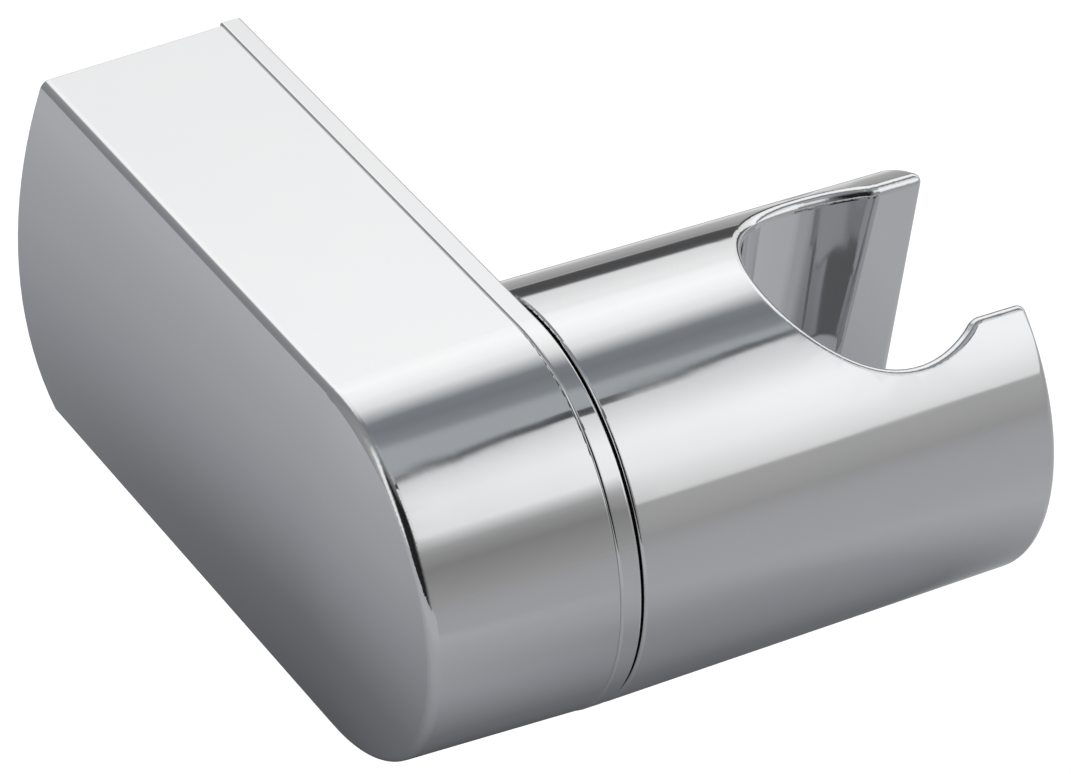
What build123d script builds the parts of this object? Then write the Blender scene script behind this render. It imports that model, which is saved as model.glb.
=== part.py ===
from build123d import *
from math import cos, pi, radians, sin, sqrt, tan
import os

# Hand shower holder: a wall unit with a D-shaped section, and a cradle that tilts on it.
# The origin is on the wall, midway between the two wall screws. +X points along the pivot
# towards the cradle, +Y into the wall and +Z up. All lengths are in millimetres.

# Outside shape of the wall unit
barrel_radius = 20.0  # round front of the wall unit, and the cradle beside the gap
pivot_depth = 58.6  # wall to pivot axis
screw_line_to_gap = 13.175  # wall screws to the middle of the gap beside the cradle
gap_width = 0.25
side_plate_thickness = 2.2
cover_length = 18.95  # side plate to the corners of the bowed end
end_bow = 3.4  # how far the bowed end stands out from its rim
bow_lift = 0.95  # how far above the pivot it stands out most
cover_draft = 1.78  # degrees a side
cover_wall = 2.0
cover_corner_round = 1.1
seam_round = 0.3
cover_edge_round = 0.15  # edges of the cover at the seam and the wall
plate_wall_clearance = 0.3  # side plate to the tiles
cover_wall_clearance = 0.7  # cover to the tiles

# Outside shape of the cradle
cradle_length = 44.4
cradle_draft = 0.6  # degrees a side
cradle_tilt = 11.4  # degrees that its top leans away from the wall
seat_from_end = 12.3  # hose seat axis to the open end
seat_radius = 10.3  # at the level of the pivot axis
seat_half_angle = 2.9  # degrees, wider at the top
slot_shoulder = 0.84  # step from the slot's side at the pivot's level to the seat's bottom
slot_draft = 1.1  # degrees a side, wider at the top
seat_edge_round = 2.0  # where the seat runs into the slot
lip_round = 0.8  # rim of the seat, edges and mouth of the slot, and outer edge of the end
cradle_wall = 2.2
seat_wall = 2.4  # between the hollow of the barrel and the seat
jaw_end_wall = 3.0

# Wall bracket
wall_plate_thickness = 3.0
wall_hole_radius = 2.3
wall_hole_spacing = 22.0
web_thickness = 3.2
web_flange_thickness = 1.8
web_flange_height = 2.0
window_height = 16.0
window_from_plate = 13.0
window_from_boss = 6.5
window_round = 3.0
bracket_corner_round = 3.0
gusset_thickness = 3.0
gusset_length = 12.0
pivot_boss_radius = 8.5
pivot_boss_height = 2.45

# Rim of the side plate that centres the cover
rim_height = 1.6
rim_thickness = 1.2
rim_clearance = 0.12
web_clearance = 0.4
peg_radius = 2.0  # keeps the side plate from turning on the bracket
peg_from_wall = 10.0

# Pivot, from the cradle's inside towards the bowed end
bolt_radius = 3.0
bolt_head_height = 4.0
bolt_protrusion = 0.9
hex_across_flats = 10.0
bush_wall = 2.0
bush_running_clearance = 0.06
bush_flange_radius = 8.0
bush_flange_recess = 0.6  # how deep the bush's flange lies in the side plate
friction_washer_radius = 6.8
friction_washer_thickness = 0.8
thrust_washer_radius = 6.5
thrust_washer_thickness = 1.2
spring_radius = 6.2
spring_thickness = 0.6
spring_cone_height = 0.4
nut_washer_radius = 6.0
nut_washer_thickness = 1.0
nut_height = 6.0
nut_collar_height = 1.8
nut_ring_thickness = 1.2

# Ring in the gap
gap_ring_inset = 1.4  # from the barrel's surface
gap_ring_width = 1.6
gap_ring_groove_depth = 0.8

# Core that closes the cradle and holds the bolt's head
core_disc_thickness = 3.0
core_seat_thickness = 4.45  # between the gap and the bolt's head
core_hub_wall = 2.6
core_rib_thickness = 1.8
core_rib_height = 5.0

# Screws
small_screw_radius = 1.5
small_head_radius = 2.75
head_land = 0.2
recess_length = 3.0
recess_width = 0.6
recess_depth = 1.0
plate_screw_length = 5.0
plate_screw_circle = 12.3  # radius round the pivot
cover_screw_length = 8.0
cover_screw_from_wall = 14.0
cover_boss_radius = 2.5
core_screw_length = 12.0
core_screw_circle = 12.8  # radius round the pivot
post_radius = 3.2

# Clearances
fit_clearance = 0.05  # fixed pieces that pass through one another
loose_clearance = 0.2  # washers and plugs
touch_clearance = 0.05  # pieces that lie against each other
driver_depth = 0.5  # space left past a screw's tip

# Levels along the pivot
gap_x = screw_line_to_gap
plate_right = gap_x - gap_width / 2
plate_left = plate_right - side_plate_thickness
web_left = plate_left - web_thickness
boss_left = web_left - pivot_boss_height
friction_washer_left = boss_left - friction_washer_thickness
thrust_washer_left = friction_washer_left - thrust_washer_thickness
spring_left = thrust_washer_left - 2 * (spring_thickness + spring_cone_height) - touch_clearance
nut_washer_left = spring_left - nut_washer_thickness
nut_left = nut_washer_left - nut_height
bolt_left = nut_left - bolt_protrusion
cradle_left = gap_x + gap_width / 2
cradle_right = cradle_left + cradle_length
bolt_seat = cradle_left + core_seat_thickness
seat_x = cradle_right - seat_from_end

# Radii and angles worked out from the sizes above
tilt = radians(cradle_tilt)
seat_taper = tan(radians(seat_half_angle))
cavity_radius = barrel_radius - cradle_wall
core_radius = cavity_radius - loose_clearance
gap_ring_radius = barrel_radius - gap_ring_inset
seat_top_radius = seat_radius + seat_taper * barrel_radius
slot_width = 2 * (seat_radius - seat_taper * barrel_radius - slot_shoulder)
cavity_end = seat_x - seat_top_radius - seat_wall
seat_cutter_height = 3 * barrel_radius
slot_widening = seat_cutter_height / 2 * tan(radians(slot_draft))
bush_radius = bolt_radius + bush_wall
hub_radius = hex_across_flats / sqrt(3) + core_hub_wall
hub_height = core_seat_thickness + bolt_head_height + driver_depth
washer_bore_radius = bolt_radius + loose_clearance
countersink_radius = small_head_radius + head_land + fit_clearance
screw_hole_radius = small_screw_radius + fit_clearance

# Rim of the bowed end, which lies on the drafted cover
corner_x = plate_left - cover_length
corner_radius = barrel_radius - (gap_x - corner_x) * tan(radians(cover_draft))
bow_radius = (corner_radius**2 + end_bow**2) / (2 * end_bow)
bow_centre_x = corner_x - end_bow + bow_radius

# The rim fits in the cover, and the bracket's web fits in the rim
rim_radius = barrel_radius - (gap_x - plate_left) * tan(radians(cover_draft)) - cover_wall - rim_clearance
web_radius = rim_radius - rim_thickness - web_clearance
bow_reach = sqrt((bow_radius - cover_wall) ** 2 - (web_radius + bow_lift) ** 2)
bracket_left = bow_centre_x - bow_reach + web_clearance

# Axes and planes
pivot_axis = Axis((0, -pivot_depth, 0), (1, 0, 0))
barrel_section = Plane(origin=(0, -pivot_depth, 0), x_dir=(1, 0, 0), z_dir=(0, -sin(tilt), cos(tilt)))
seat_plane = barrel_section.shift_origin((seat_x, -pivot_depth, 0))


def cover_radius(x):
    """Outer radius of the drafted cover, and half its height, at x."""
    return barrel_radius - (gap_x - x) * tan(radians(cover_draft))


def wall_unit_plane(x):
    """Plane across the pivot that faces +X and doesn't tilt."""
    return Plane(origin=(x, -pivot_depth, 0), x_dir=(0, 1, 0), z_dir=(1, 0, 0))


def cradle_plane(x):
    """Plane across the pivot that faces +X and leans with the cradle."""
    return Plane(origin=(x, -pivot_depth, 0), x_dir=(0, cos(tilt), sin(tilt)), z_dir=(1, 0, 0))


def d_outline(radius, back):
    """Level top and bottom out from the wall, closed by a half circle round the pivot."""
    with BuildSketch() as outline:
        with BuildLine():
            Polyline((-pivot_depth, radius), (back, radius), (back, -radius), (-pivot_depth, -radius))
            ThreePointArc((-pivot_depth, -radius), (-pivot_depth - radius, 0), (-pivot_depth, radius))
        make_face()
    return outline.sketch


def bowed_end(radius):
    """Round bar towards the wall and half ball round the pivot, which bow the cover's end."""
    with BuildPart() as bar:
        with BuildSketch(Plane.XZ.offset(pivot_depth)):
            with Locations((bow_centre_x, bow_lift)):
                Circle(radius)
        extrude(amount=-pivot_depth - end_bow)
        with Locations((bow_centre_x, -pivot_depth, bow_lift)):
            Sphere(radius)
    return bar.part


def cover_block(inset, right, back):
    """Drafted D-shaped block with the bowed end, drawn in by inset all round."""
    bow = bowed_end(bow_radius - inset)
    with BuildPart() as block:
        with BuildSketch(Plane(origin=(right, 0, 0), x_dir=(0, 1, 0), z_dir=(-1, 0, 0))):
            add(d_outline(cover_radius(right) - inset, pivot_depth))
        extrude(amount=right - corner_x + 2 * end_bow, taper=cover_draft)
        split(bisect_by=Plane.XZ.offset(-back), keep=Keep.TOP)
        add(bow, mode=Mode.INTERSECT)
    return block.part


def countersunk_screw(length):
    """Countersunk cross-head screw, its head's face at the origin and its shank along -Z."""
    neck = head_land + small_head_radius - small_screw_radius
    with BuildPart() as screw:
        with BuildSketch(Plane.XZ):
            with BuildLine():
                Polyline(
                    (0, 0),
                    (small_head_radius, 0),
                    (small_head_radius, -head_land),
                    (small_screw_radius, -neck),
                    (small_screw_radius, -length),
                    (0, -length),
                    close=True,
                )
            make_face()
        revolve(axis=Axis.Z)
        chamfer(screw.edges().sort_by(Axis.Z)[0], small_screw_radius / 3)
        with BuildSketch():
            Rectangle(recess_length, recess_width)
            Rectangle(recess_width, recess_length)
        extrude(amount=-recess_depth, mode=Mode.SUBTRACT)
    return screw.part


def ring(plane, outer, inner, thickness):
    """Flat ring from a plane, its thickness along the plane's normal."""
    with BuildPart() as washer:
        with BuildSketch(plane):
            Circle(outer)
            Circle(inner, mode=Mode.SUBTRACT)
        extrude(amount=thickness)
    return washer.part


# Screw places, in the plane across the pivot
plate_screw_spots = [
    (plate_screw_circle * cos(angle), plate_screw_circle * sin(angle)) for angle in (pi / 3, pi, -pi / 3)
]
cover_screw_x = plate_left - rim_height - loose_clearance - cover_boss_radius
cover_screw_bottom = -cover_radius(cover_screw_x)
cover_boss_bottom = cover_screw_bottom + cover_wall + rim_clearance
cover_boss_top = cover_screw_bottom + cover_screw_length + driver_depth
cover_screw_plane = Plane(
    origin=(cover_screw_x, -cover_screw_from_wall, cover_screw_bottom), x_dir=(1, 0, 0), z_dir=(0, 0, -1)
)
core_screw_plane = Plane(
    origin=(cradle_left, -pivot_depth, 0), x_dir=(0, cos(tilt), sin(tilt)), z_dir=(-1, 0, 0)
)

# Cover of the wall unit, open to the wall and to the side plate
cover_outside = cover_block(0, plate_left, -cover_wall_clearance)
cover_inside = cover_block(cover_wall, plate_left + cover_wall, cover_wall)
with BuildPart() as cover:
    add(cover_outside)
    rim_edges = cover.edges().filter_by_position(Axis.X, corner_x - bow_lift, corner_x + bow_lift)
    fillet(rim_edges, cover_corner_round)
    seam_face = cover.faces().sort_by(Axis.X)[-1]
    fillet(seam_face.edges().sort_by(Axis.Y)[:-1], cover_edge_round)
    wall_face = cover.faces().sort_by(Axis.Y)[-1]
    fillet(wall_face.edges().sort_by(Axis.X)[:-1], cover_edge_round)
    add(cover_inside, mode=Mode.SUBTRACT)
    with Locations(cover_screw_plane):
        CounterSinkHole(screw_hole_radius, countersink_radius, depth=2 * cover_wall, counter_sink_angle=90)

# Side plate, whose edge shows as a thin flange beside the cradle
with BuildPart() as side_plate:
    with BuildSketch(Plane.YZ.offset(plate_left)):
        add(d_outline(barrel_radius, -plate_wall_clearance))
    extrude(amount=side_plate_thickness)
    for end in (0, -1):
        plate_face = side_plate.faces().sort_by(Axis.X)[end]
        fillet(plate_face.edges().sort_by(Axis.Y)[:-1], seam_round)
    with BuildSketch(Plane.YZ.offset(plate_left)):
        add(d_outline(rim_radius, -plate_wall_clearance))
        add(d_outline(rim_radius - rim_thickness, 0), mode=Mode.SUBTRACT)
    extrude(amount=-rim_height)
    with BuildSketch(Plane.YZ.offset(plate_left)):
        with Locations((-peg_from_wall, 0)):
            Circle(peg_radius)
    extrude(amount=-web_thickness)
    with BuildSketch(wall_unit_plane(plate_right)):
        Circle(gap_ring_radius + fit_clearance)
        Circle(gap_ring_radius - gap_ring_width - fit_clearance, mode=Mode.SUBTRACT)
    extrude(amount=-gap_ring_groove_depth, mode=Mode.SUBTRACT)
    with Locations(wall_unit_plane(plate_right)):
        CounterBoreHole(
            bush_radius + fit_clearance,
            bush_flange_radius + fit_clearance,
            bush_flange_recess,
            depth=side_plate_thickness,
        )
        with Locations(*plate_screw_spots):
            CounterSinkHole(
                screw_hole_radius, countersink_radius, depth=side_plate_thickness, counter_sink_angle=90
            )

# Cast bracket that the wall screws hold
window_back = wall_plate_thickness + window_from_plate
window_front = pivot_depth - pivot_boss_radius - window_from_boss
with BuildPart() as wall_bracket:
    with BuildSketch(Plane.XZ):
        with Locations(((bracket_left + plate_left) / 2, 0)):
            Rectangle(plate_left - bracket_left, 2 * web_radius)
    extrude(amount=wall_plate_thickness)
    fillet(wall_bracket.edges().filter_by(Axis.Y).group_by(Axis.X)[0], bracket_corner_round)
    with BuildSketch(Plane.YZ.offset(web_left)):
        add(d_outline(web_radius, 0))
        with Locations((-(window_back + window_front) / 2, 0)):
            RectangleRounded(window_front - window_back, window_height, window_round, mode=Mode.SUBTRACT)
    extrude(amount=web_thickness)
    with BuildSketch(Plane.YZ.offset(web_left)):
        add(d_outline(web_radius, 0))
        add(d_outline(web_radius - web_flange_thickness, 0), mode=Mode.SUBTRACT)
    extrude(amount=-web_flange_height)
    with BuildSketch(wall_unit_plane(web_left)):
        Circle(pivot_boss_radius)
    extrude(amount=-pivot_boss_height)
    with BuildSketch(Plane.XY):
        with BuildLine():
            Polyline(
                (bracket_left + bracket_corner_round, -wall_plate_thickness),
                (web_left, -wall_plate_thickness),
                (web_left, -wall_plate_thickness - gusset_length),
                close=True,
            )
        make_face()
    extrude(amount=gusset_thickness / 2, both=True)
    with BuildSketch(Plane.XY.offset(cover_boss_bottom)):
        with Locations((cover_screw_x, -cover_screw_from_wall)):
            Circle(cover_boss_radius)
    extrude(amount=cover_boss_top - cover_boss_bottom)
    with Locations(cover_screw_plane.offset(-cover_wall)):
        Hole(screw_hole_radius, depth=cover_screw_length + driver_depth / 2 - cover_wall)
    with Locations(wall_unit_plane(plate_left)):
        Hole(bush_radius + fit_clearance, depth=web_thickness + pivot_boss_height)
        with Locations(*plate_screw_spots):
            Hole(screw_hole_radius, depth=web_thickness)
        with Locations((pivot_depth - peg_from_wall, 0)):
            Hole(peg_radius + fit_clearance, depth=web_thickness)
    with Locations(Plane.XZ):
        with GridLocations(0, wall_hole_spacing, 1, 2):
            Hole(wall_hole_radius, depth=wall_plate_thickness)

# Screws of the wall unit
plate_screw = countersunk_screw(plate_screw_length)
with BuildPart() as plate_screws:
    with Locations(wall_unit_plane(plate_right)):
        with Locations(*plate_screw_spots):
            add(plate_screw)

cover_screw_blank = countersunk_screw(cover_screw_length)
with BuildPart() as cover_screw:
    with Locations(cover_screw_plane.offset(-touch_clearance)):
        add(cover_screw_blank)

# Flanged bush that the bolt turns in, its flange against the cradle's core
with BuildPart() as pivot_bush:
    with BuildSketch(wall_unit_plane(boss_left)):
        Circle(bush_radius)
    extrude(amount=cradle_left - boss_left)
    with BuildSketch(wall_unit_plane(cradle_left)):
        Circle(bush_flange_radius)
    extrude(amount=-gap_width - bush_flange_recess)
    with Locations(wall_unit_plane(cradle_left)):
        Hole(bolt_radius + bush_running_clearance, depth=cradle_left - boss_left)

# Washers and disc springs under the nut
friction_washer_ring = ring(
    wall_unit_plane(friction_washer_left),
    friction_washer_radius,
    washer_bore_radius,
    friction_washer_thickness,
)
with BuildPart() as friction_washer:
    add(friction_washer_ring)

thrust_washer_ring = ring(
    cradle_plane(thrust_washer_left), thrust_washer_radius, washer_bore_radius, thrust_washer_thickness
)
with BuildPart() as thrust_washer:
    add(thrust_washer_ring)

with BuildPart() as disc_springs:
    spring_height = spring_thickness + spring_cone_height
    for base, way in ((thrust_washer_left, -1), (spring_left, 1)):
        with BuildSketch(barrel_section):
            with BuildLine():
                Polyline(
                    (base, washer_bore_radius),
                    (base + way * spring_thickness, washer_bore_radius),
                    (base + way * spring_height, spring_radius),
                    (base + way * spring_cone_height, spring_radius),
                    close=True,
                )
            make_face()
        revolve(axis=pivot_axis)

nut_washer_ring = ring(
    cradle_plane(nut_washer_left), nut_washer_radius, washer_bore_radius, nut_washer_thickness
)
with BuildPart() as nut_washer:
    add(nut_washer_ring)

# Lock nut with a nylon ring in its collar
nut_bore_radius = bolt_radius + fit_clearance
nut_body_height = nut_height - nut_collar_height
collar_radius = hex_across_flats / 2 - loose_clearance
nut_ring_bottom = nut_left + (nut_collar_height - nut_ring_thickness) / 2
with BuildPart() as lock_nut:
    with BuildSketch(cradle_plane(nut_washer_left)):
        RegularPolygon(hex_across_flats / 2, 6, major_radius=False)
    extrude(amount=-nut_body_height)
    chamfer(lock_nut.faces().sort_by(Axis.X)[0].edges(), seam_round)
    with BuildSketch(cradle_plane(nut_left)):
        Circle(collar_radius)
    extrude(amount=nut_collar_height)
    with Locations(cradle_plane(nut_washer_left)):
        Hole(nut_bore_radius, depth=nut_height)
    with BuildSketch(cradle_plane(nut_ring_bottom)):
        Circle((collar_radius + nut_bore_radius) / 2)
    extrude(amount=nut_ring_thickness, mode=Mode.SUBTRACT)

nut_ring_blank = ring(
    cradle_plane(nut_ring_bottom), (collar_radius + nut_bore_radius) / 2, nut_bore_radius, nut_ring_thickness
)
with BuildPart() as nut_ring:
    add(nut_ring_blank)

# Rubber ring that shows dark in the gap
gap_ring_blank = ring(
    wall_unit_plane(plate_right - gap_ring_groove_depth),
    gap_ring_radius,
    gap_ring_radius - gap_ring_width,
    gap_ring_groove_depth + gap_width - touch_clearance,
)
with BuildPart() as gap_ring:
    add(gap_ring_blank)

# Bolt, its hexagon head held in the cradle's core
with BuildPart() as pivot_bolt:
    with BuildSketch(cradle_plane(bolt_seat)):
        RegularPolygon(hex_across_flats / 2 - fit_clearance, 6, major_radius=False)
    extrude(amount=bolt_head_height)
    chamfer(pivot_bolt.faces().sort_by(Axis.X)[-1].edges(), seam_round)
    with BuildSketch(cradle_plane(bolt_seat)):
        Circle(bolt_radius)
    extrude(amount=bolt_left - bolt_seat)
    chamfer(pivot_bolt.edges().sort_by(Axis.X)[0], bolt_radius / 6)

# Core of the cradle
with BuildPart() as cradle_core:
    with BuildSketch(cradle_plane(cradle_left)):
        Circle(core_radius)
    extrude(amount=core_disc_thickness)
    with BuildSketch(cradle_plane(cradle_left)):
        Circle(hub_radius)
    extrude(amount=hub_height)
    with BuildSketch(cradle_plane(cradle_left)):
        with PolarLocations((hub_radius + core_radius) / 2 - core_rib_thickness, 3, start_angle=30):
            Rectangle(core_radius - hub_radius, core_rib_thickness)
    extrude(amount=core_rib_height)
    with BuildSketch(cradle_plane(bolt_seat)):
        RegularPolygon(hex_across_flats / 2 + fit_clearance, 6, major_radius=False)
    extrude(amount=hub_height, mode=Mode.SUBTRACT)
    with Locations(cradle_plane(bolt_seat)):
        Hole(washer_bore_radius, depth=core_seat_thickness)
    with Locations(core_screw_plane):
        with PolarLocations(core_screw_circle, 3, start_angle=-90):
            CounterSinkHole(
                screw_hole_radius, countersink_radius, depth=core_disc_thickness, counter_sink_angle=90
            )

core_screw = countersunk_screw(core_screw_length)
with BuildPart() as core_screws:
    with Locations(core_screw_plane):
        with PolarLocations(core_screw_circle, 3, start_angle=-90):
            add(core_screw)

# Cradle: a drafted barrel with a tapered seat across it and a slot out to its end
cradle_end_radius = barrel_radius - cradle_length * tan(radians(cradle_draft))
post_left = cradle_left + core_disc_thickness
jaw_pocket_inside = seat_top_radius + seat_wall
with BuildPart() as cradle:
    with BuildSketch(barrel_section):
        with BuildLine():
            Polyline(
                (cradle_left, 0),
                (cradle_left, barrel_radius),
                (cradle_right, cradle_end_radius),
                (cradle_right, 0),
                close=True,
            )
        make_face()
    revolve(axis=pivot_axis)
    with Locations(seat_plane):
        Cone(
            seat_radius - seat_taper * seat_cutter_height / 2,
            seat_radius + seat_taper * seat_cutter_height / 2,
            seat_cutter_height,
            mode=Mode.SUBTRACT,
        )
    with BuildSketch(cradle_plane(seat_x)):
        with BuildLine():
            Polyline(
                (slot_width / 2 + slot_widening, seat_cutter_height / 2),
                (-slot_width / 2 - slot_widening, seat_cutter_height / 2),
                (-slot_width / 2 + slot_widening, -seat_cutter_height / 2),
                (slot_width / 2 - slot_widening, -seat_cutter_height / 2),
                close=True,
            )
        make_face()
    extrude(amount=2 * seat_from_end, mode=Mode.SUBTRACT)
    fillet(cradle.edges().filter_by(GeomType.HYPERBOLA), seat_edge_round)
    barrel_face = cradle.faces().sort_by(SortBy.AREA)[-1]
    barrel_edges = barrel_face.edges().filter_by(GeomType.LINE, reverse=True).sort_by(Axis.X)
    end_edges = cradle.edges().filter_by_position(
        Axis.X, cradle_right - fit_clearance, cradle_right + fit_clearance
    )
    mouth_corners = end_edges.filter_by(GeomType.LINE)
    fillet(barrel_edges[1:] + mouth_corners, lip_round)
    fillet(cradle.edges().sort_by(Axis.X)[0], seam_round)
    with BuildSketch(cradle_plane(cradle_left)):
        Circle(cavity_radius)
    extrude(amount=cavity_end - cradle_left, mode=Mode.SUBTRACT)
    with BuildSketch(cradle_plane(cavity_end)):
        Circle(cavity_radius)
        Rectangle(2 * jaw_pocket_inside, 2 * barrel_radius, mode=Mode.SUBTRACT)
    extrude(amount=cradle_right - jaw_end_wall - cavity_end, mode=Mode.SUBTRACT)
    with BuildSketch(cradle_plane(post_left)):
        with PolarLocations(core_screw_circle, 3, start_angle=90):
            Circle(post_radius)
    extrude(amount=cavity_end - post_left)
    with Locations(cradle_plane(post_left)):
        with PolarLocations(core_screw_circle, 3, start_angle=90):
            Hole(screw_hole_radius, depth=core_screw_length - core_disc_thickness + driver_depth)

os.makedirs("parts", exist_ok=True)
sub_parts = {
    "cover": cover,
    "side_plate": side_plate,
    "wall_bracket": wall_bracket,
    "plate_screws": plate_screws,
    "cover_screw": cover_screw,
    "pivot_bush": pivot_bush,
    "friction_washer": friction_washer,
    "gap_ring": gap_ring,
    "cradle": cradle,
    "cradle_core": cradle_core,
    "core_screws": core_screws,
    "pivot_bolt": pivot_bolt,
    "thrust_washer": thrust_washer,
    "disc_springs": disc_springs,
    "nut_washer": nut_washer,
    "lock_nut": lock_nut,
    "nut_ring": nut_ring,
}
for label, builder in sub_parts.items():
    builder.part.label = label
    export_step(builder.part, f"parts/{label}.step")
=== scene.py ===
# %% [markdown]
# # Hand shower holder
# A chromed holder for a hand shower: a wall unit with a D-shaped section, and a round cradle
# beside it that tilts about a level pivot. The exact shapes come from the CAD model and stay as
# they are. This lesson puts a camera where the photographer stood, builds the studio that the
# chrome mirrors, and gives every piece the finish of its real material. A mirror has no colour of
# its own, so most of the likeness lies in what stands around it.

# %% Load the model
import math

import bpy
from mathutils import Matrix, Vector

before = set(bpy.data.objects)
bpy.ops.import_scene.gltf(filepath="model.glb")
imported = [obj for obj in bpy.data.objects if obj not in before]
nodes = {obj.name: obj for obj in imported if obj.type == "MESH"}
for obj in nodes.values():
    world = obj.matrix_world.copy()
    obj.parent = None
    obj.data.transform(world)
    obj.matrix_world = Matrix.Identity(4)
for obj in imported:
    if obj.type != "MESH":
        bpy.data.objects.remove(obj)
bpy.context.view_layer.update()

# %% [markdown]
# ## Camera
# The picture is 1071 x 774 pixels. Its outlines give a long lens from above and to the left:
# 30 degrees round from the front, 35 degrees up, and about 0.7 m away. A vector that points from
# the object back to the camera gives both the place and the direction in one go, and the camera
# rolls by one degree about it.

# %% Camera
AIM = Vector((0.02189, -0.04315, 0.0))
ROUND = math.radians(-29.94)
UP = math.radians(34.72)
ROLL = math.radians(1.055)
AWAY = 0.6981
FOCAL_LENGTH = 249.25

back = Vector((math.sin(ROUND) * math.cos(UP), -math.cos(ROUND) * math.cos(UP), math.sin(UP)))
level = Vector((math.cos(ROUND), math.sin(ROUND), 0.0))
above = back.cross(level)
right = level * math.cos(ROLL) + above * math.sin(ROLL)
top = above * math.cos(ROLL) - level * math.sin(ROLL)

long_lens = bpy.data.cameras.new("long_lens")
long_lens.lens = FOCAL_LENGTH
long_lens.sensor_width = 36.0
long_lens.clip_start = 0.01
camera = bpy.data.objects.new("camera", long_lens)
stand = Matrix((right, top, back)).transposed().to_4x4()
stand.translation = AIM + back * AWAY
camera.matrix_world = stand
bpy.context.collection.objects.link(camera)
bpy.context.scene.camera = camera
bpy.context.scene.view_settings.view_transform = "Standard"
print("camera at", [round(v, 3) for v in stand.translation])

# %% [markdown]
# ## Colours and nodes
# Colours are written as on the web, in hex, and Blender's shaders count light, so one function
# turns the first into the second. The other adds one node to a material: what it is, its
# settings, and for each input a value or the output that feeds it.

# %% Colour and node helpers
def light(colour):
    """Turns an sRGB hex colour such as '#8090a0' into Blender's linear colour."""
    parts = [int(colour[i:i + 2], 16) / 255 for i in (1, 3, 5)]
    return [p / 12.92 if p <= 0.04045 else ((p + 0.055) / 1.055) ** 2.4 for p in parts] + [1.0]


def add(tree, kind, inputs=None, **settings):
    """Adds a node of that kind, sets its settings, and fills or links its inputs."""
    made = tree.nodes.new("ShaderNode" + kind)
    for name, value in settings.items():
        setattr(made, name, value)
    for name, value in (inputs or {}).items():
        if isinstance(value, bpy.types.NodeSocket):
            tree.links.new(value, made.inputs[name])
        else:
            made.inputs[name].default_value = value
    return made


print("mid grey is", round(light("#808080")[0], 3))

# %% [markdown]
# ## What the chrome shows
# The studio is measured by what the chrome shows of it. Chrome gives back 79 % of the light, so
# each light of the studio is as much brighter than its colour in the chrome. The studio's walls
# and floor are built from two things. A graded light runs straight from each stop to the next,
# and the same way serves for a number that changes from place to place. A light that lies over
# another has soft borders: along some direction it begins at one place and is full at the next,
# and inside all its borders it covers what is under it.

# %% Graded lights and soft borders
CHROME_GIVES = 0.79


def as_seen(colour):
    """The light that looks like this colour in the chrome."""
    return [part / CHROME_GIVES for part in light(colour)[:3]] + [1.0]


def graded(tree, stops, feed):
    """A light, or a number, that runs straight from each stop of (where, value) to the next."""
    where, values = zip(*stops)
    low, high = where[0], where[-1]
    share = add(tree, "MapRange", {"Value": feed, "From Min": low, "From Max": high}).outputs[0]
    made = add(tree, "ValToRGB", {0: share})
    marks = made.color_ramp.elements
    while len(marks) < len(stops):
        marks.new(1.0)
    is_light = isinstance(values[0], str)
    most = 1.0 if is_light else max(values)
    for mark, at, value in zip(marks, where, values):
        mark.position = (at - low) / (high - low)
        mark.color = as_seen(value) if is_light else [value / most] * 3 + [1.0]
    if is_light:
        return made.outputs[0]
    return add(tree, "Math", {0: made.outputs[0], 1: most}, operation="MULTIPLY").outputs[0]


def lay(tree, under, over, *borders):
    """Lays one light over another, inside borders of (feed, where it begins, where it is full)."""
    cover = 1.0
    for feed, begins, full in borders:
        share = add(tree, "MapRange", {"Value": feed, "From Min": begins, "From Max": full}).outputs[0]
        cover = add(tree, "Math", {0: cover, 1: share}, operation="MULTIPLY").outputs[0]
    return add(tree, "Mix", {0: cover, 6: under, 7: over}, data_type="RGBA").outputs[2]


print("chrome that shows #808080 mirrors", round(as_seen("#808080")[0], 3))

# %% [markdown]
# ## Directions in the studio
# Round the holder stand a lit panel in front, a darker gap over it, a large lit panel overhead
# and a dark flag behind that. They run along the pivot, so each is a band of directions about
# the X axis: 0 degrees looks to the front, 90 straight up and 180 to the back. A world shader
# can hold such bands without a single object, because it knows the direction of each ray. What
# stands upright, to the left of the holder, is a band of the compass direction instead: -90
# degrees is straight left and 0 the front.

# %% World and its directions
world = bpy.data.worlds.new("studio")
bpy.context.scene.world = world
world.use_nodes = True
sky = world.node_tree
sky.nodes.clear()
ray = add(sky, "SeparateXYZ", {0: add(sky, "TexCoord").outputs["Generated"]})
ray_x, ray_z = ray.outputs["X"], ray.outputs["Z"]
to_front = add(sky, "Math", {0: ray.outputs["Y"], 1: -1.0}, operation="MULTIPLY").outputs[0]


def degrees_from_front(part):
    """How far a ray turns from the front towards the direction of this part of it."""
    turn = add(sky, "Math", {0: part, 1: to_front}, operation="ARCTAN2").outputs[0]
    return add(sky, "Math", {0: turn}, operation="DEGREES").outputs[0]


band = degrees_from_front(ray_z)
compass = degrees_from_front(ray_x)
print("world nodes so far:", len(sky.nodes))

# %% [markdown]
# ## Front panel
# The panel in front is a softbox. The cover narrows to the left and the cradle to the right, so
# they mirror two neighbouring strips of the studio, and a step along X tells them apart: for the
# cover the wall under the panel is darker, and the panel's lower edge is softer. For the cradle
# that edge drops a little towards the seam. The panel is dimmer to the left.

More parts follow.
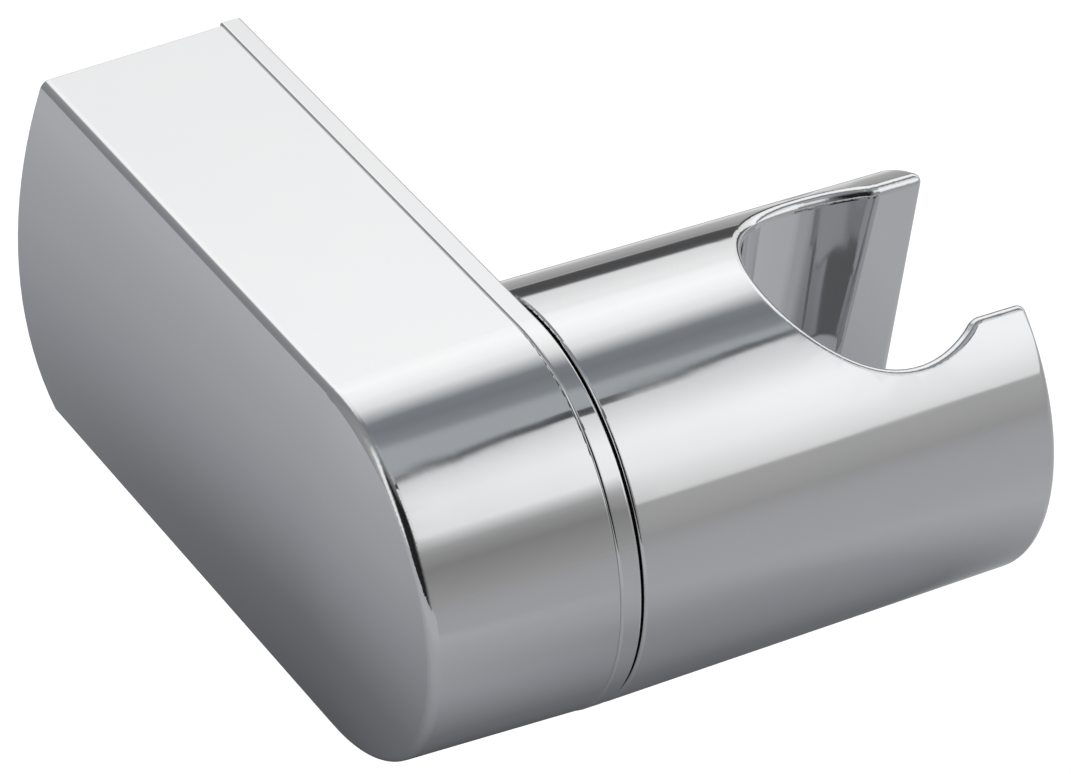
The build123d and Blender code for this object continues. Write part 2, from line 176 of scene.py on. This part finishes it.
# %% Front panel
LOW_FOR_COVER = [(-6, "#9c9c9c"), (1, "#909090"), (10, "#868686"), (19, "#7c7c7c"), (27, "#848484")]
LOW_FOR_CRADLE = [(-6, "#969799"), (1, "#919191"), (6, "#969696"), (14, "#9c9c9c"), (22, "#9f9f9f")]
PANEL = [(19, "#cfcfcf"), (25, "#dadada"), (31, "#e2e3e3"), (37, "#ebebeb"), (43, "#eeefef"),
         (50, "#f2f2f2"), (55, "#f1f1f1"), (61, "#e9e9ea"), (67, "#dddede"), (73, "#d3d3d4"),
         (86, "#cbcbcc")]
ALONG_PANEL = [(0.33, 0.77), (0.34, 0.88), (0.355, 0.94), (0.41, 0.96), (0.442, 0.94), (0.455, 1.0)]
SOFT_EDGE = [(19, 0.0), (26, 0.09), (29, 0.2), (37, 1.0)]
HARD_EDGE = (20.5, 22)
EDGE_DROP = [(0.43, 2.0), (0.462, 1.8), (0.472, 0.6), (0.49, 0.4)]
CRADLE_BEGINS = (0.425, 0.432)

panel = add(sky, "Mix", {0: 1.0, 6: graded(sky, PANEL, band), 7: graded(sky, ALONG_PANEL, ray_x)},
            data_type="RGBA", blend_type="MULTIPLY").outputs[2]
for_cover = lay(sky, graded(sky, LOW_FOR_COVER, band), panel, (graded(sky, SOFT_EDGE, band), 0, 1))
lowered = add(sky, "Math", {0: band, 1: graded(sky, EDGE_DROP, ray_x)}, operation="ADD").outputs[0]
for_cradle = lay(sky, graded(sky, LOW_FOR_CRADLE, band), panel, (lowered, *HARD_EDGE))
front = lay(sky, for_cover, for_cradle, (ray_x, *CRADLE_BEGINS))
print("front panel stops:", len(PANEL))

# %% [markdown]
# ## Rail
# At its top the panel ends in a thin dark rail, and over the rail the wall is a plain grey. The
# rail isn't level: its height follows a few points along X. How far a ray passes over or under
# it tells the wall from the panel, and the rail from both.

# %% Rail
RAIL_HEIGHT = [(0.325, 66), (0.34, 70.7), (0.347, 73.6), (0.357, 75.6), (0.39, 75), (0.42, 74.3),
               (0.429, 76.6), (0.441, 77.3), (0.449, 81.3), (0.462, 84.6), (0.49, 90)]
RAIL_MIDDLE = (-0.3, 0.3)
RAIL_SIDES = (2.3, 1.6)
RAIL = "#48494b"
OVER_RAIL = "#9b9fa2"

past_rail = add(sky, "Math", {0: band, 1: graded(sky, RAIL_HEIGHT, ray_x)}, operation="SUBTRACT")
off_rail = add(sky, "Math", {0: past_rail.outputs[0]}, operation="ABSOLUTE")
front = lay(sky, front, as_seen(OVER_RAIL), (past_rail.outputs[0], *RAIL_MIDDLE))
front = lay(sky, front, as_seen(RAIL), (off_rail.outputs[0], *RAIL_SIDES))
print("rail points:", len(RAIL_HEIGHT))

# %% [markdown]
# ## Overhead
# Over the front wall comes a darker gap, then the large panel overhead, and from 166 degrees on
# the dark flag, which draws the dark line along the cradle's back. Near the seam the gap reaches
# a little less far up, so there the bands before 125 degrees are read up to 3 degrees further on.

# %% Overhead
OVERHEAD = [
    (88, "#93989b"), (92, "#7e8286"), (100, "#71757a"), (106, "#777b7f"), (110, "#a8aaab"),
    (116, "#dcdcdc"), (124, "#efefef"), (133, "#f9f9f9"), (141, "#f2f2f2"), (145, "#e8e8e8"),
    (149, "#e6e6e6"), (157, "#dcdcdc"), (164, "#d6d6d6"), (166.5, "#545456"), (171, "#484849"),
    (178, "#494949"), (180, "#5c5c5c"),
]
NEAR_SEAM = [(0.405, 0.0), (0.414, 2.8), (0.434, 3.0), (0.443, 1.4), (0.452, 0.0)]
ONLY_LOW = [(125, 1.0), (140, 0.0)]
OVERHEAD_BEGINS = (86, 90)

further = add(sky, "Math", {0: graded(sky, NEAR_SEAM, ray_x), 1: graded(sky, ONLY_LOW, band)},
              operation="MULTIPLY").outputs[0]
moved_band = add(sky, "Math", {0: band, 1: further}, operation="ADD").outputs[0]
overhead = graded(sky, OVERHEAD, moved_band)
walls = lay(sky, front, overhead, (band, *OVERHEAD_BEGINS))
print("bands overhead:", len(OVERHEAD))

# %% [markdown]
# ## Left side
# To the left of the holder the studio is dark in front, with one narrow lit strip straight to
# the left and a grey wall behind it. High up it is a plain grey. Only mirrored rays see any of
# this. The camera sees plain white, and matt pieces are lit by plain white from all round, at a
# strength of 1.

# %% Left side and the finished world
LEFT = [(-180, "#969696"), (-140, "#7a7d7f"), (-112, "#8c8c8c"), (-101, "#a5a5a5"), (-97, "#dedede"),
        (-86, "#e4e4e4"), (-80, "#787878"), (-74, "#202021"), (-32, "#1c1c1d"), (-20, "#5f5f5f"),
        (0, "#828282")]
HIGH_LEFT = "#808284"
HIGH_BEGINS = (0.72, 0.95)
LEFT_BEGINS = (-0.05, -0.22)
WHITE = (1.0, 1.0, 1.0, 1.0)

left = lay(sky, graded(sky, LEFT, compass), as_seen(HIGH_LEFT), (ray_z, *HIGH_BEGINS))
mirrored = lay(sky, walls, left, (ray_x, *LEFT_BEGINS))
shine = add(sky, "LightPath").outputs["Is Glossy Ray"]
seen = add(sky, "Mix", {0: shine, 6: WHITE, 7: mirrored}, data_type="RGBA").outputs[2]
background = add(sky, "Background", {"Color": seen, "Strength": 1.0})
add(sky, "OutputWorld", {"Surface": background.outputs[0]})
print("world nodes:", len(sky.nodes))

# %% [markdown]
# ## Floor
# A plain pale floor lies 100 mm below, so that the holder's own shadow falls outside the picture.
# It is a large flat disc in matt paint, and it also glows a little by itself, so that the camera
# sees it white.

# %% Floor
FLOOR_DROP = 0.1
FLOOR_RADIUS = 4.0
FLOOR_COLOUR = "#e6e6e6"
FLOOR_GLOW = 0.32

bpy.ops.object.select_all(action="DESELECT")
bpy.ops.mesh.primitive_circle_add(vertices=96, radius=FLOOR_RADIUS, fill_type="NGON",
                                  location=(0, 0, -FLOOR_DROP))
floor = bpy.context.object
floor.name = "floor"

pale_floor = bpy.data.materials.new("pale_floor")
pale_floor.use_nodes = True
tree = pale_floor.node_tree
tree.nodes.clear()
paint = add(tree, "BsdfDiffuse", {"Color": light(FLOOR_COLOUR)}).outputs[0]
glow = add(tree, "Emission", {"Strength": FLOOR_GLOW}).outputs[0]
plain = add(tree, "AddShader", {0: paint, 1: glow}).outputs[0]
floor.data.materials.append(pale_floor)
print("floor at", round(floor.location.z, 3))

# %% [markdown]
# ## What the chrome shows of the floor
# In the chrome the floor is a mid grey with a painted shadow: it gets darker towards a soft pool
# under the holder, as a lit table does under a thing that stands just over it. The distance from
# the pool's middle, on the floor's Object coordinates, gives that with one graded light. In front a
# faint strip of painted shade lies over it. To the right painted light makes the floor more even,
# and behind on the right a patch of painted light lies on it. Behind the holder it has painted
# shade, which makes the dark band inside the seat. The floor gives all of this off as its own
# light, and only mirrored rays see it.

# %% The floor's light
# Painted shadow: a soft pool of shade under the holder, on the floor as the chrome sees it.
PAINTED_SHADOW_MIDDLE = (0.026, 0.006, 0.0)
PAINTED_SHADOW_SHRINK = (1 / 1.24, 1.0, 0.0)
PAINTED_SHADOW_POOL = [(0.0, "#404144"), (0.035, "#555659"), (0.05, "#5d5e62"), (0.07, "#656669"), (0.09, "#727376"),
        (0.105, "#7b7c80"), (0.12, "#828387"), (0.145, "#8b8c90"), (0.2, "#959699"),
        (0.3, "#9d9ea1"), (0.42, "#a5a6a9"), (1.0, "#a4a5a7")]
# Painted shade: a faint darker strip in front, laid over the shadow pool.
PAINTED_SHADE_STRIP = [(0.0, 1.03), (0.04, 1.05), (0.065, 0.88), (0.085, 0.92), (0.1, 1.0)]
PAINTED_STRIP_NEAR, PAINTED_STRIP_FAR = (-0.08, -0.13), (-0.22, -0.15)
# Painted light: to the right the floor is lighter and more even.
RIGHT_PAINTED_LIGHT = [(-3.0, "#929294"), (-1.0, "#979799"), (-0.25, "#9b9c9e"), (-0.15, "#a0a1a3"), (0.0, "#a3a4a6")]
RIGHT_PAINTED_LIGHT_BEGINS = (0.095, 0.12)
# Painted light: a bright patch on the floor behind on the right.
BEHIND_PAINTED_LIGHT = [(0.2, "#d2d2d2"), (0.28, "#b2b2b2"), (0.42, "#a0a09f"), (0.8, "#999998"), (2.0, "#8e8e8e")]
BEHIND_PAINTED_LIGHT_X, BEHIND_PAINTED_LIGHT_Y = (0.08, 0.11), (0.16, 0.2)
# Painted shade: the floor behind the holder, which the seat mirrors as a dark band.
SHADE = "#5a5a5b"
SHADE_LEFT, SHADE_RIGHT = (-0.055, -0.045), (0.085, 0.065)
SHADE_NEAR, SHADE_FAR = (0.115, 0.13), (0.27, 0.23)

spot = add(tree, "TexCoord").outputs["Object"]
flat = add(tree, "SeparateXYZ", {0: spot})
x, y = flat.outputs["X"], flat.outputs["Y"]
centred = add(tree, "VectorMath", {0: spot, 1: PAINTED_SHADOW_MIDDLE}, operation="SUBTRACT").outputs[0]
shrunk = add(tree, "VectorMath", {0: centred, 1: PAINTED_SHADOW_SHRINK}, operation="MULTIPLY").outputs[0]
away = add(tree, "VectorMath", {0: shrunk}, operation="LENGTH").outputs["Value"]

# Painted shadow first, then painted shade and painted light laid over it.
ground = graded(tree, PAINTED_SHADOW_POOL, away)
dimmed = add(tree, "Mix", {0: 1.0, 6: ground, 7: graded(tree, PAINTED_SHADE_STRIP, x)},
             data_type="RGBA", blend_type="MULTIPLY").outputs[2]
# Painted shade strip in front.
ground = lay(tree, ground, dimmed, (y, *PAINTED_STRIP_NEAR), (y, *PAINTED_STRIP_FAR))
# Painted light on the right side of the floor.
ground = lay(tree, ground, graded(tree, RIGHT_PAINTED_LIGHT, y), (x, *RIGHT_PAINTED_LIGHT_BEGINS))
# Painted light behind on the right.
ground = lay(tree, ground, graded(tree, BEHIND_PAINTED_LIGHT, y), (x, *BEHIND_PAINTED_LIGHT_X), (y, *BEHIND_PAINTED_LIGHT_Y))
# Painted shade behind the holder.
ground = lay(tree, ground, as_seen(SHADE), (x, *SHADE_LEFT), (x, *SHADE_RIGHT),
             (y, *SHADE_NEAR), (y, *SHADE_FAR))

for_chrome = add(tree, "Emission", {"Color": ground}).outputs[0]
shine = add(tree, "LightPath").outputs["Is Glossy Ray"]
either = add(tree, "MixShader", {0: shine, 1: plain, 2: for_chrome}).outputs[0]
add(tree, "OutputMaterial", {"Surface": either})
print("floor nodes:", len(tree.nodes))

# %% [markdown]
# ## How a finish is made
# Each real surface here varies in two ways. Its colour and its gloss change from place to place
# in soft lumps, and it isn't flat, but has bumps of one or more sizes. So one function makes a
# finish from what can be measured: two colours, the least and the most roughness, the size of
# the lumps, and for each kind of bump its size and height. Sizes are in millimetres on the
# surface's Object coordinates, and a grain that is drawn out one way shrinks them that way. A
# noise pattern stays near the middle of its range, so its middle part spans the roughness.

# %% One function for all finishes
MM = 0.001
MIDDLE_OF_NOISE = (0.3, 0.7)


def finish(name, colours, roughness, lumps, bumps, shader, grain=(1.0, 1.0, 1.0)):
    """Makes a finish. Lumps are (size, detail), each kind of bump is (size, detail, height)."""
    made = bpy.data.materials.new(name)
    made.use_nodes = True
    tree = made.node_tree
    tree.nodes.clear()
    spot = add(tree, "TexCoord").outputs["Object"]
    spot = add(tree, "Mapping", {"Vector": spot, "Scale": grain}).outputs[0]
    patterns = [add(tree, "TexNoise", {"Vector": spot, "Scale": 1 / (size * MM), "Detail": detail})
                for size, detail in [lumps] + [bump[:2] for bump in bumps]]
    lump, *heights = [pattern.outputs[0] for pattern in patterns]
    colour = add(tree, "Mix", {0: lump, 6: light(colours[0]), 7: light(colours[1])}, data_type="RGBA")
    rough = add(tree, "MapRange", {"Value": lump, "From Min": MIDDLE_OF_NOISE[0],
                                   "From Max": MIDDLE_OF_NOISE[1], "To Min": roughness[0],
                                   "To Max": roughness[1]})
    surface = {"Base Color": colour.outputs[2], "Roughness": rough.outputs[0], **shader}
    for height, bump in zip(heights, bumps):
        under = {"Normal": surface["Normal"]} if "Normal" in surface else {}
        raised = add(tree, "Bump", {"Height": height, "Distance": bump[2] * MM, **under})
        surface["Normal"] = raised.outputs[0]
    skin = add(tree, "BsdfPrincipled", surface)
    add(tree, "OutputMaterial", {"Surface": skin.outputs[0]})
    print(name, "has", len(tree.nodes), "nodes")
    return made


METAL = {"Metallic": 1.0}

# %% [markdown]
# ## Bright chrome on moulded ABS
# The cover, the side plate and the cradle are moulded ABS with a bright chrome plating. Chrome is
# a metal, so metallic is 1 and its colour is what it mirrors: nearly neutral. The plating copies
# the moulding under it, which isn't quite flat: it swims by a few thousandths of a millimetre
# over 15 mm, and has a finer ripple at 1.5 mm, so that mirrored edges waver a little. The gloss
# changes a touch from place to place.

# %% Bright chrome
bright_chrome = finish("bright_chrome_on_abs", ("#e3e4e5", "#e6e6e7"), (0.045, 0.07), (6, 3.0),
                       [(15, 0.0, 0.012), (1.5, 1.0, 0.0006)], METAL)

# %% [markdown]
# ## Die-cast aluminium
# The wall bracket is die-cast and only tumbled. The melt chills against the mould, which leaves a
# satin skin with a fine grain of about 0.4 mm and slow cloudy flow marks some 9 mm across.

# %% Cast skin
cast_aluminium = finish("die_cast_aluminium", ("#a9abad", "#c3c4c6"), (0.42, 0.56), (9, 4.0),
                        [(0.4, 3.0, 0.02)], METAL)

# %% [markdown]
# ## Screws, bolt, nut and washers
# These are plain bright stainless steel, a little warmer and greyer than chrome. Rolling and
# tumbling leave short fine marks, so the pattern is drawn out along X: 1.2 mm long and 0.12 mm
# wide, which is coarser than the real ones, to show at all. The disc springs are spring steel,
# hardened dark and lightly oiled, and the oil gathers in smooth patches over tiny pits.

# %% Steels
stainless_steel = finish("bright_stainless_steel", ("#b9b7b3", "#cbc9c5"), (0.22, 0.36), (0.12, 2.0),
                         [(0.12, 2.0, 0.002)], METAL, grain=(0.1, 1.0, 1.0))
spring_steel = finish("oiled_spring_steel", ("#4d4c4f", "#6a6870"), (0.24, 0.42), (2.5, 3.0),
                      [(0.2, 2.0, 0.003)], METAL)

# %% [markdown]
# ## White acetal
# The bush and the friction washer are moulded acetal, a slippery plastic that looks waxy, so a
# little light goes under its skin. Its mould leaves a faint orange peel of half a millimetre.

# %% White acetal
WAXY = {"IOR": 1.48, "Subsurface Weight": 0.15, "Subsurface Scale": 0.6 * MM}
white_acetal = finish("moulded_white_acetal", ("#e6e5e0", "#eeede9"), (0.34, 0.46), (4, 3.0),
                      [(0.5, 2.0, 0.005)], WAXY)

# %% [markdown]
# ## Nylons
# The core is black nylon with glass fibres, which come to the skin as dull pale streaks of
# 0.25 mm, drawn out along Y. The nut's ring is plain blue nylon, smooth and matt, with a fine
# moulded texture.

# %% Nylons
NYLON = {"IOR": 1.53}
black_nylon = finish("glass_filled_black_nylon", ("#1b1b1d", "#2b2b2d"), (0.48, 0.64), (0.25, 3.0),
                     [(0.25, 3.0, 0.006)], NYLON, grain=(1.0, 0.2, 1.0))
blue_nylon = finish("blue_nylon", ("#2b52a0", "#3862ac"), (0.36, 0.5), (1.5, 2.0),
                    [(0.3, 2.0, 0.004)], NYLON)

# %% [markdown]
# ## Black rubber
# The ring in the gap beside the cradle is black rubber with a dusty, matt face, so it stays dark
# and shows as a thin black line. The dust lies in patches 3 mm across, over a crumb of 0.25 mm.

# %% Black rubber
RUBBER = {"IOR": 1.52}
black_rubber = finish("matt_black_rubber", ("#131313", "#1c1c1b"), (0.68, 0.84), (3, 4.0),
                      [(0.25, 2.0, 0.008)], RUBBER)

# %% [markdown]
# ## Finishes on the pieces
# Every piece of the model names the slot of its finish, so one table from slot to material gives
# each piece its own.

# %% Finishes on the pieces
FINISHES = {
    "chrome_plate": bright_chrome,
    "cast_aluminium": cast_aluminium,
    "stainless_steel": stainless_steel,
    "spring_steel": spring_steel,
    "white_acetal": white_acetal,
    "black_nylon": black_nylon,
    "blue_nylon": blue_nylon,
    "black_rubber": black_rubber,
}
for name, piece in sorted(nodes.items()):
    for slot in piece.material_slots:
        slot.material = FINISHES[slot.material.name.split(".")[0]]
    print(name, "is", piece.material_slots[0].material.name)
